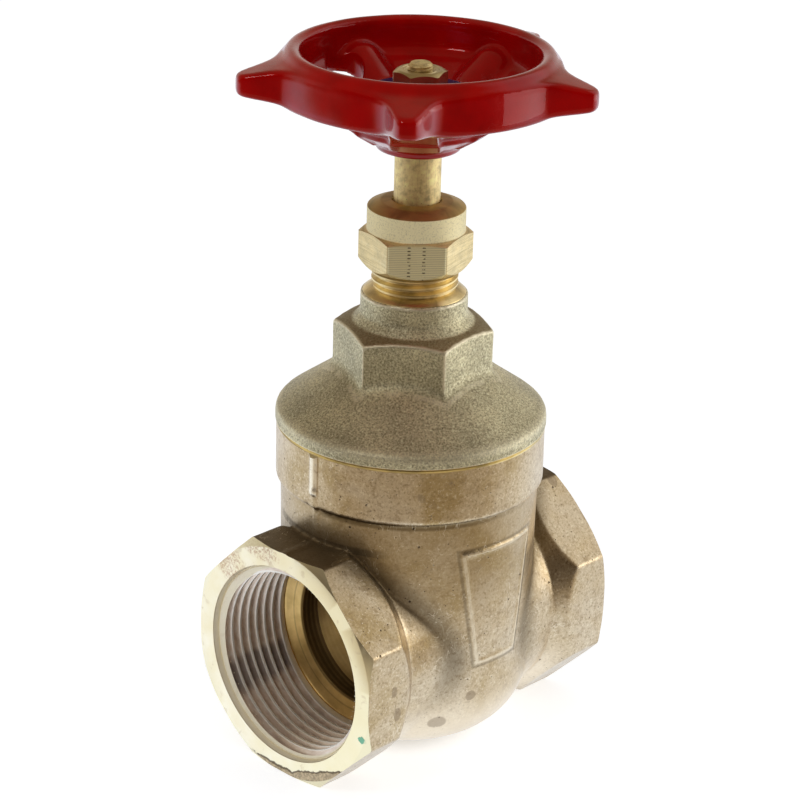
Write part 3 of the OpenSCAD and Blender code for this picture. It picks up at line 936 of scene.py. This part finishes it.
def cavity_tool(finishes):
    """The space the wedge moves in, less the two leaning seats and the guide ribs."""
    pocket = [(0, -9.6), (20.8, -9.6), (20.8, 9.6), (0, 9.6)]
    tool = turned("pocket tool", pocket, finishes, 3, "X")
    fit(tool, block("shaft tool", (-9.61, -20.8, 0), (9.61, 20.8, 27), finishes, 3), "UNION")
    well = [(0, 26), (22.6, 26), (22.6, 36.5), (24.05, 36.5), (24.05, 47), (0, 47)]
    fit(tool, turned("well tool", well, finishes, 3), "UNION")
    seat_radius, seat_place = 18.4, 6.5
    lean = math.tan(math.radians(5))
    for mirrored in (False, True):
        rows = [(0, 0), (seat_radius, 0), (seat_radius, 8), (0, 8)]
        seat = turned("seat", rows, finishes, 4, "X")
        for vertex in seat.data.vertices:
            if vertex.co.x < 1e-6:
                vertex.co.x += vertex.co.z * lean
            vertex.co.x += seat_place * MM
        if mirrored:
            seat.data.transform(Matrix.Scale(-1, 4, (1, 0, 0)))
            seat.data.flip_normals()
        fit(tool, seat)
        rib = block("rib", (-2.2, 17.6, -11), (2.2, 26, 25.99), finishes, 3)
        fit(tool, half_turn(rib) if mirrored else rib)
    return tool


def build_body(settings):
    finishes = [forged_finish(settings.brass), bore_finish(), face_finish(settings.brass),
                cavity_finish(settings.brass), shoulder_finish()]
    inputs = in_mm(settings, "chamber", "ring", "flats", "crease", "panel_ridge")
    body = grow("valve_body", (-36.9, -29.2, -26.4), (36.9, 29.2, 46), settings.grain / MM, inputs,
                body_field, finishes)
    joint = [(0, JOINT), (27.35, JOINT), (27.9, 44.55), (29, 43.5), (29, 47), (0, 47)]
    fit(body, turned("joint tool", joint, finishes, 2))
    fit(body, cavity_tool(finishes))
    fit(body, port_tool(finishes))
    fit(body, half_turn(port_tool(finishes)))
    mark_edges(body)
    hand_in(body, 42, "valve", "body")


# ---------- bonnet ----------

def bonnet_field(tree, place, given):
    """Domed cap with a spanner hexagon whose foot runs into the dome."""
    x, y, z = place.split()
    spin = hypot(x, y)
    dome = spin * 0.5806 + z * 0.8142 - 55.19
    cap = (spin - given["Skirt radius"]).pare(dome, 1.2).pare(44.6 - z, 0.4)
    first, second, third = hexagon_sides(x, y, given["Across flats"] / 2)
    sides = first.pare(second, 0.2).pare(third, 0.2)
    arch = bonnet_arch(spin, z).pare(spin * 0.408 + z * 0.913 - 66.50, 0.3)
    hexagon_block = sides.pare(arch, 0.5).high(50 - z)
    neck_radius, neck_top = 11.0, 73.15
    neck = (spin - neck_radius).pare(z - neck_top, 0.3).high(55 - z)
    foot = (spin * 0.73 + z * 0.683 - 54.93).pare(spin - 12.35, 0.8).high(z - 70.5).high(60 - z)
    neck = neck.melt(foot, 1.0)
    grain = noise(tree, place, 1.5, 3, detail=2) * 0.16 + noise(tree, place, 6, 4) * 0.24 - 0.20
    cap = cap.melt(hexagon_block, given["Foot blend"]).melt(neck, 0.6)
    return cap - grain * 0.6 * z.ease(45.0, 46.0)


def build_bonnet(settings):
    finishes = [blasted_finish(settings.brass), machined_finish(GOLD, "bonnet neck", brown=0.45),
                cavity_finish(settings.brass)]
    inputs = in_mm(settings, "skirt", "flats", "fillet")
    bonnet = grow("valve_bonnet", (-29, -29, 43.9), (29, 29, 73.2), settings.grain / MM, inputs,
                  bonnet_field, finishes)
    under = [(0, 40), (30, 40), (30, 45.6), (28.4, 45.55), (27.6, JOINT), (0, JOINT)]
    fit(bonnet, turned("joint tool", under, finishes, 1))
    neck = [(0, 70), (10.4, 70), (10.6, 73.15), (10.5, 73.3), (9.05, 74.1), (8.5, 74.3), (8.5, 74.75),
            (8.88, 75.0), (8.88, 83.0), (8.28, 83.6), (0, 83.6)]
    neck = turned("neck", neck, finishes, 1)
    fit(neck, thread("neck thread", finishes, 1, inner_radius=8.05, outer_radius=9.3, inner_width=0.16,
                     outer_width=1.62, pitch=1.5, turns=7.0, start_height=74.9, start_angle=1.0,
                     run_out=0.03))
    fit(bonnet, neck, "UNION")
    spigot = [(20, 37), (24, 37), (24, 45.3), (20, 45.3)]
    fit(bonnet, turned("spigot", spigot, finishes, 1, loop=True), "UNION")
    inside = [(0, 30), (21.6, 30), (21.6, 46.8), (20.2, 49.6), (13.4, 54.8), (9.2, 56.6), (9.2, 59.5),
              (5.1, 61.8), (5.1, 66), (6.75, 66), (6.75, 90), (0, 90)]
    fit(bonnet, turned("inside tool", inside, finishes, 2))
    mark_edges(bonnet, 1, 2.2)
    hand_in(bonnet, 42, "valve", "bonnet")


# ---------- gland ----------

def build_gland(settings):
    finishes = [gland_finish(settings.brass),
                machined_finish((0.56, 0.41, 0.16), "brown turned brass", brown=0.4, rough=0.42)]
    flats, collar, steps = settings.flats / MM, settings.collar / MM, 288
    side = polygon(6, flats / 2, flats / math.sqrt(3) - 0.15, steps)
    low = 78.9 + (side - 10.2) * 0.886
    high = 86.4 - (side - 10.2) * 0.43
    rows = [(8.95, 78.0), (9.1, 78.0), (9.25, 78.06), (10.1, 78.82), (side - 0.10, low - 0.10),
            (side, low + 0.02), (side, high - 0.02), (side - 0.16, high + 0.07), (10.14, 86.44),
            (collar + 0.05, 86.52), (collar, 86.62), (collar, 90.95), (collar - 0.05, 91.18),
            (collar - 0.22, 91.38), (7.45, 92.33), (7.3, 92.42), (7.12, 92.44), (5.35, 92.72),
            (5.2, 92.72), (5.02, 92.55), (5.02, 86.4), (8.95, 86.4)]
    nut = turned("gland_hexagon", rows, finishes, steps=steps, start=15.75, loop=True)
    brown_above, brown_below = 91.1 * MM, 78.5 * MM
    for face in nut.data.polygons:
        if face.center.z > brown_above or face.center.z < brown_below:
            face.material_index = 1
    hand_in(nut, 28, "valve", "gland_nut")
    dress("packing_rings", packing_finish())
    dress("gland_follower", machined_finish(scaled(settings.brass, 0.9), "follower brass"))


# ---------- stem and wedge ----------

def build_stem(settings):
    finishes = [stem_finish(settings.brass)]
    shaft = settings.shaft / MM
    square = polygon(4, 3.6, shaft, 144)
    rows = [(0, 18.5), (4.0, 18.5), (4.98, 19.5), (4.98, 66.05), (6.5, 66.05), (6.65, 66.2), (6.65, 68.45),
            (6.5, 68.6), (shaft, 68.6), (shaft, 103.15), (square, 103.3), (square, 114.3),
            (square - 0.1, 114.4), (2.48, 114.4), (2.48, 120.35), (2.4, 120.5), (2.1, 120.78),
            (1.95, 120.95), (0, 121.05)]
    stem = turned("stem_bar", rows, finishes, start=45)
    fit(stem, thread("stem thread", finishes, inner_radius=3.7, outer_radius=5.4, inner_width=0.9,
                     outer_width=1.9, pitch=settings.pitch / MM, turns=15.4, start_height=17.0,
                     hand=-1.0, run_out=0.02))
    fit(stem, thread("stud thread", finishes, inner_radius=2.06, outer_radius=2.7, inner_width=0.08,
                     outer_width=0.86, pitch=0.8, turns=8.6, start_height=114.9, start_angle=0.6,
                     run_out=0.02))
    hand_in(stem, 30, "stem_and_wheel", "stem")
    dress("wedge", machined_finish(scaled(GOLD, 0.9), "wedge brass", NO_LINES, 0.35))


# ---------- handwheel ----------

def wheel_field(tree, place, given):
    """Casting: beaded rim, drooping lobes, conical web, round-backed spokes and hub."""
    x, y, z = place.split()
    spin = hypot(x, y)
    pitch = 2 * math.pi / 5
    angle = y.op("ARCTAN2", x) - given["Start angle"]
    angle = angle - (angle / pitch).op("ROUND") * pitch
    along = spin * angle.op("COSINE")
    aside = abs(spin * angle.op("SINE"))

    rim_foot, rim_top = 114.3, 122.6
    inner = (24.0 + (z - rim_foot) * 0.05) - spin
    fall = rim_top - z
    outer = (spin - 26.6 - fall * (0.30 - fall * 0.0145)) * 0.97
    rim = inner.pare(outer, 0.6).pare((rim_foot - z).pare(z - rim_top - 0.3, 0.5), 1.6)
    bead = hypot(spin - 25.5, z - rim_top) - 1.24
    rim = rim.melt(bead, 1.2)

    rim_reach = 27.6
    from_tip = abs(angle) / (pitch / 2) / given["Lobe sharpness"]
    sharp = (from_tip.op("POWER", 3.4) + 1).op("POWER", -1.0)
    broad = ((from_tip / 2.5).op("POWER", 2.2) + 1).op("POWER", -1.0)
    star = rim_reach + (sharp * 0.86 + broad * 0.14) * (given["Lobe reach"] - rim_reach)
    steep = sharp * sharp * from_tip.op("POWER", 2.4) * 258 / spin
    flank = (spin - star) / (steep * steep + 1).op("SQRT")
    crown = (z - 122.3 + (spin - 26.6) * 0.215) * 0.977
    belly = (rim_foot - z + (spin - 27.4).high(0) * 0.17) * 0.985
    lobes = flank.pare(crown.pare(belly, 0.5), 1.7).high(24.5 - spin)
    rim = rim.melt(lobes, 2.3)

    sheet = abs((z - 110.5) * 0.868 - (spin - 14.25) * 0.497) - 1.3 + (spin - 14.2) * 0.057
    web = sheet.pare((spin - 25.3).high(11 - spin), 0.3)
    dish = (spin * 0.8 + z * 0.6 - 78.56).pare(spin - 14.3, 0.6)
    dish = dish.pare(spin * 0.5145 - z * 0.8575 + 85.25, 0.35).pare(z - 114.4, 1.0)
    boss = (spin - 8.8).pare(103.3 - z, 2.0).high(z - 107)
    hub = dish.melt(boss, 0.6)

    spoke_start, spoke_height, rise, run = 9.5, 107.15, 0.545, 0.839
    climb = (along - spoke_start) * run + (z - spoke_height) * rise
    proud = (z - spoke_height) * run - (along - spoke_start) * rise
    back = hypot(hypot(aside * 0.84, (proud + 0.3).high(0)), (climb - 15.7).high(0) * 0.95)
    spoke = (back - 4.1 + climb.ease(9, 17) * 0.3).pare(-1.6 - proud, 0.35)
    spoke = spoke.high(-climb).high(climb - 18.5)

    wheel = rim.melt(web, 2.4).melt(hub, 0.5).melt(spoke, 1.7)
    hole_angle = given["Start angle"] + math.radians(89.2)
    hole_reach, hole_radius = 20.1, 3.8
    hole = hypot(x - hole_angle.op("COSINE") * hole_reach, y - hole_angle.op("SINE") * hole_reach)
    wheel = wheel.pare(-(hole - hole_radius), 0.6)
    return wheel - (noise(tree, place, 9, 2, detail=1) - 0.5) * 0.12


def build_wheel(settings):
    finishes = [paint_finish(settings.paint), machined_finish(GOLD, "hub bore", NO_LINES)]
    inputs = in_mm(settings, "reach", "sharpness", "start")
    wheel = grow("wheel_casting", (-38.5, -38.5, 102.6), (38.5, 38.5, 124.9), settings.grain / MM, inputs,
                 wheel_field, finishes)
    square = polygon(4, 3.65, 4.77, 144)
    rows = [(0, 100), (square, 100), (square, 118), (0, 118)]
    fit(wheel, turned("square tool", rows, finishes, 1, start=45))
    hand_in(wheel, 60, "stem_and_wheel", "handwheel")


# ---------- disc and wheel nut ----------

def build_fastening(settings):
    edge = settings.disc / MM
    rows = [(2.75, 114.41), (edge - 0.12, 114.41), (edge, 114.5), (edge, 115.1), (edge - 0.1, 115.2),
            (2.85, 115.2), (2.75, 115.1)]
    disc = turned("blue_disc", rows, [disc_finish(settings.blue)], loop=True)
    hand_in(disc, 28, "stem_and_wheel", "identification_disc")

    flats, steps, top = settings.flats / MM, 288, 119.6
    side = polygon(6, flats / 2, flats / math.sqrt(3) - 0.1, steps)
    washer = flats / 2 - 0.35
    high = top - (side - washer) * 0.55
    rows = [(2.52, 115.2), (4.6, 115.2), (side - 0.05, 115.24), (side, 115.3), (side, high - 0.03),
            (side - 0.08, high + 0.02), (washer + 0.03, top - 0.05), (washer - 0.08, top),
            (washer - 0.75, top), (washer - 0.82, top - 0.1), (washer - 1.0, top - 0.1),
            (washer - 1.08, top), (3.05, top), (2.55, top - 0.4), (2.52, top - 0.5)]
    finishes = [machined_finish((0.70, 0.58, 0.31), "wheel nut brass", NO_LINES, 0.35)]
    nut = turned("wheel_hexagon", rows, finishes, steps=steps, start=23.4, loop=True)
    hand_in(nut, 26, "stem_and_wheel", "wheel_nut")


# ---------- studio ----------

def make_camera(stage):
    az, el, roll = stage.azimuth, stage.elevation, stage.roll
    aim_height, aim_right = 49.66 * MM, 3.18 * MM
    right = Vector((math.cos(az), math.sin(az), 0))
    back = Vector((math.sin(az) * math.cos(el), -math.cos(az) * math.cos(el), math.sin(el)))
    up = back.cross(right)
    rolled = right * math.cos(roll) + up * math.sin(roll)
    top = up * math.cos(roll) - right * math.sin(roll)
    camera = add_object("camera", bpy.data.cameras.new("camera"))
    camera.data.lens = stage.focal
    camera.data.sensor_width = 36
    camera.data.shift_x = -0.0334125
    camera.data.shift_y = -0.00425
    matrix = Matrix((rolled, top, back)).transposed().to_4x4()
    matrix.translation = right * aim_right + Vector((0, 0, aim_height)) + back * stage.distance
    camera.matrix_world = matrix
    bpy.context.scene.camera = camera


def facing_camera(way, stage, swing=0.0):
    """1 for a direction that runs level towards the camera, -1 for one that runs away from it."""
    azimuth = stage.azimuth + math.radians(swing)
    ahead = (math.sin(azimuth), -math.cos(azimuth), 0)
    return vector_op(way.tree, "DOT_PRODUCT", way, ahead)


def warm(level, amount):
    """Tint a grey level as a warm room does: white stays white and dim turns golden."""
    green, blue = amount * 0.32 + 1, amount * 0.85 + 1
    return combine(level.tree, level, level.op("POWER", green), level.op("POWER", blue))


def make_world(stage):
    """An even fill for matt paint; in a mirror, a studio that is dark overhead and bright behind."""
    world = bpy.data.worlds.new("studio")
    tree = open_tree(world)
    path = tree.nodes.new("ShaderNodeLightPath").outputs
    way = output(tree, "ShaderNodeTexCoord", "Generated")
    height = way.split()[2]
    toward = facing_camera(way, stage)
    studio = toward.ease(0.5, -0.35) * height.ease(0.65, 0.10)
    studio = studio * (stage.horizon - stage.dim) + stage.dim
    low = height.ease(0.60, 0.30) * toward.ease(0.0, 0.5)
    studio = studio - low * (stage.dim - stage.front)
    panel = vector_op(tree, "DOT_PRODUCT", way, (0.75, -0.38, 0.54)).ease(0.74, 0.97)
    studio = studio.high(panel * stage.panel)
    mirrored = Value(tree, path["Is Glossy Ray"]).high(Value(tree, path["Is Transmission Ray"]))
    level = (studio - stage.fill) * mirrored + stage.fill
    level = level + (1 - level) * Value(tree, path["Is Camera Ray"])
    feed(tree, warm(level, mirrored * 0.6), tree.nodes["Background"].inputs["Color"])
    bpy.context.scene.world = world


def make_floor(stage):
    """A plain pale floor: white to the camera save for the soft shadow, dimmer in front in a mirror."""
    level, half = cad_box[0][2] / MM - 0.02, 2500
    corners = [(-half, -half, level), (half, -half, level), (half, half, level), (-half, half, level)]
    floor = plain_mesh("floor", corners, [(0, 1, 2, 3)])
    material = bpy.data.materials.new("pale floor")
    tree = open_tree(material)
    tree.nodes.remove(tree.nodes["Principled BSDF"])
    path = tree.nodes.new("ShaderNodeLightPath").outputs
    place = output(tree, "ShaderNodeTexCoord", "Object")
    away = vector_op(tree, "LENGTH", place)
    way = vector_op(tree, "NORMALIZE", place)
    front = facing_camera(way, stage, 9).ease(-0.2, 0.75) * away.ease(0.075, 0.125)
    toward = facing_camera(way, stage)
    far = away.ease(0.28, 0.40)
    mirror = stage.floor_mirror - front * (stage.floor_mirror - stage.floor_front)
    mirror = mirror * (1 - toward.ease(0.25, 0.60) * far * 0.85)
    mirror = mirror * (1 - toward.ease(-0.3, 0.0) * away.ease(0.50, 0.90) * 0.8)
    mirror = mirror + toward.ease(-0.5, -0.2) * toward.ease(0.5, 0.2) * far * away.ease(0.8, 0.5) * 0.25
    # The glow fades out between 31.5 and 24 mm from the axis, so the floor round the foot shows darker:
    # painted shade that deepens the contact shadow.
    white = warm(away.ease(0.024, 0.0315) * stage.floor_white, 0.0)
    surface = output(tree, "ShaderNodeBsdfDiffuse", Color=(0.84, 0.85, 0.88, 1))
    for ray, share, colour in (("Is Camera Ray", 0.1, white), ("Is Glossy Ray", 0.85, warm(mirror, 1.0))):
        mix = add_node(tree, "ShaderNodeMixShader", Fac=Value(tree, path[ray]) * share)
        feed(tree, surface, mix.inputs[1])
        feed(tree, output(tree, "ShaderNodeEmission", Color=colour), mix.inputs[2])
        surface = Value(tree, mix.outputs[0])
    feed(tree, surface, tree.nodes["Material Output"].inputs["Surface"])
    floor.data.materials.append(material)


def lamp(name, place, aim, width, height, watts):
    """A soft box: an area lamp turned towards its aim, in metres."""
    light = bpy.data.lights.new(name, "AREA")
    light.shape = "RECTANGLE"
    light.size = width
    light.size_y = height
    light.energy = watts
    box = add_object(name, light)
    box.location = place
    box.rotation_euler = (Vector(place) - Vector(aim)).to_track_quat("Z", "Y").to_euler()


def build_stage(stage):
    make_camera(stage)
    make_world(stage)
    make_floor(stage)
    lamp("right box", (0.315, -0.326, 0.098), (0, 0, 0.098), 0.40, 0.20, 0.45)
    lamp("left box", (-0.393, -0.035, 0.36), (0, 0, 0.05), 0.12, 0.08, 0.26)
    bpy.context.scene.view_settings.view_transform = "Standard"


# ---------- operators, panel and main ----------

class VALVE_OT_stage(bpy.types.Operator):
    """Set the camera, the soft boxes and the pale floor"""
    bl_idname = "valve.stage"
    bl_label = "Studio"

    def execute(self, context):
        build_stage(context.scene.valve_stage)
        return {"FINISHED"}


class VALVE_OT_body(bpy.types.Operator):
    """Build the forged body with its ports and cavity"""
    bl_idname = "valve.body"
    bl_label = "Body"

    def execute(self, context):
        build_body(context.scene.valve_body)
        return {"FINISHED"}


class VALVE_OT_bonnet(bpy.types.Operator):
    """Build the blasted bonnet and its threaded neck"""
    bl_idname = "valve.bonnet"
    bl_label = "Bonnet"

    def execute(self, context):
        build_bonnet(context.scene.valve_bonnet)
        return {"FINISHED"}


class VALVE_OT_gland(bpy.types.Operator):
    """Build the gland nut and finish the packing"""
    bl_idname = "valve.gland"
    bl_label = "Gland"

    def execute(self, context):
        build_gland(context.scene.valve_gland)
        return {"FINISHED"}


class VALVE_OT_stem(bpy.types.Operator):
    """Build the stem and finish the wedge"""
    bl_idname = "valve.stem"
    bl_label = "Stem"

    def execute(self, context):
        build_stem(context.scene.valve_stem)
        return {"FINISHED"}


class VALVE_OT_wheel(bpy.types.Operator):
    """Build the red lobed handwheel"""
    bl_idname = "valve.wheel"
    bl_label = "Handwheel"

    def execute(self, context):
        build_wheel(context.scene.valve_wheel)
        return {"FINISHED"}


class VALVE_OT_fastening(bpy.types.Operator):
    """Build the blue disc and the wheel nut"""
    bl_idname = "valve.fastening"
    bl_label = "Disc and nut"

    def execute(self, context):
        build_fastening(context.scene.valve_fastening)
        return {"FINISHED"}


STEPS = {"stage": (StageSettings, VALVE_OT_stage), "body": (BodySettings, VALVE_OT_body),
         "bonnet": (BonnetSettings, VALVE_OT_bonnet), "gland": (GlandSettings, VALVE_OT_gland),
         "stem": (StemSettings, VALVE_OT_stem), "wheel": (WheelSettings, VALVE_OT_wheel),
         "fastening": (FasteningSettings, VALVE_OT_fastening)}


class VALVE_PT_panel(bpy.types.Panel):
    bl_label = "Brass gate valve"
    bl_idname = "VALVE_PT_panel"
    bl_space_type = "VIEW_3D"
    bl_region_type = "UI"
    bl_category = "Valve"

    def draw(self, context):
        for name, (group, step) in STEPS.items():
            box = self.layout.box()
            for field in group.__annotations__:
                box.prop(getattr(context.scene, "valve_" + name), field)
            box.operator(step.bl_idname)


def register():
    for name, (group, step) in STEPS.items():
        bpy.utils.register_class(group)
        setattr(bpy.types.Scene, "valve_" + name, bpy.props.PointerProperty(type=group))
        bpy.utils.register_class(step)
    bpy.utils.register_class(VALVE_PT_panel)


def unregister():
    bpy.utils.unregister_class(VALVE_PT_panel)
    for name, (group, step) in STEPS.items():
        bpy.utils.unregister_class(step)
        delattr(bpy.types.Scene, "valve_" + name)
        bpy.utils.unregister_class(group)


def main():
    register()
    for name in STEPS:
        getattr(bpy.ops.valve, name)()


if __name__ == "__main__":
    main()
